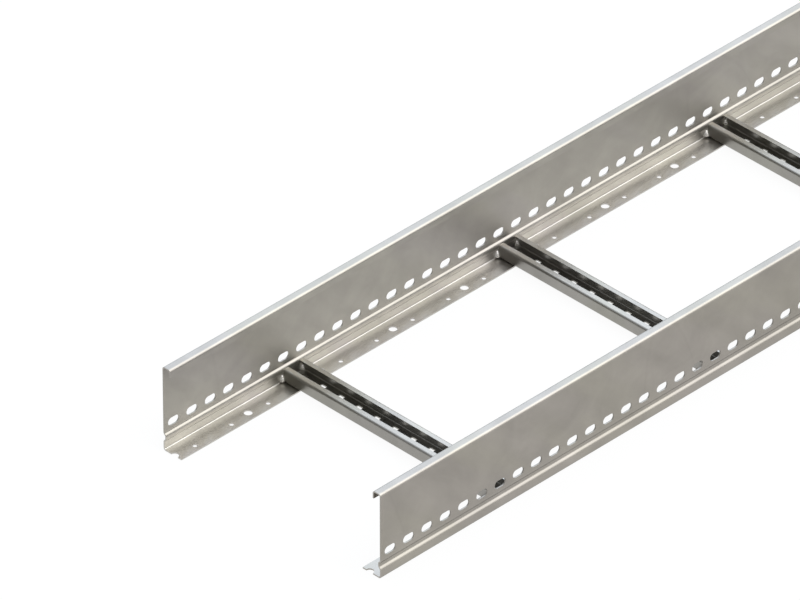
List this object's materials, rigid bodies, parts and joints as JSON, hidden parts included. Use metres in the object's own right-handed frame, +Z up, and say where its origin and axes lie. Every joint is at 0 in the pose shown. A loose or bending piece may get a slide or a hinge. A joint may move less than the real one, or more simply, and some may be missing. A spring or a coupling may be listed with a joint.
{
  "type": "cable ladder section",
  "caption": "Straight cable ladder section: two tall perforated side rails joined by open C-shaped rungs, with slots for splices and clamps.",
  "frame": {"origin": "middle of the footprint, at the undersides of the foot flanges", "axes": "+X along the side rails towards the end where the last rung is 125 mm away; +Y from the right rail to the left rail; +Z up"},
  "size_m": [3, 0.3, 0.1],
  "materials": {
    "rail_steel": "satin rolled stainless steel sheet",
    "rung_steel": "satin rolled stainless steel sheet",
    "weld_steel": "bright cleaned weld metal"
  },
  "bodies": {
    "root": {"side_rail_right": "rail_steel", "side_rail_left": "rail_steel", "rung_01": "rung_steel", "rung_02": "rung_steel", "rung_03": "rung_steel", "rung_04": "rung_steel", "rung_05": "rung_steel", "rung_06": "rung_steel", "rung_07": "rung_steel", "rung_08": "rung_steel", "rung_09": "rung_steel", "rung_10": "rung_steel", "weld_beads_right": "weld_steel", "weld_beads_left": "weld_steel"}
  },
  "joints": []
}
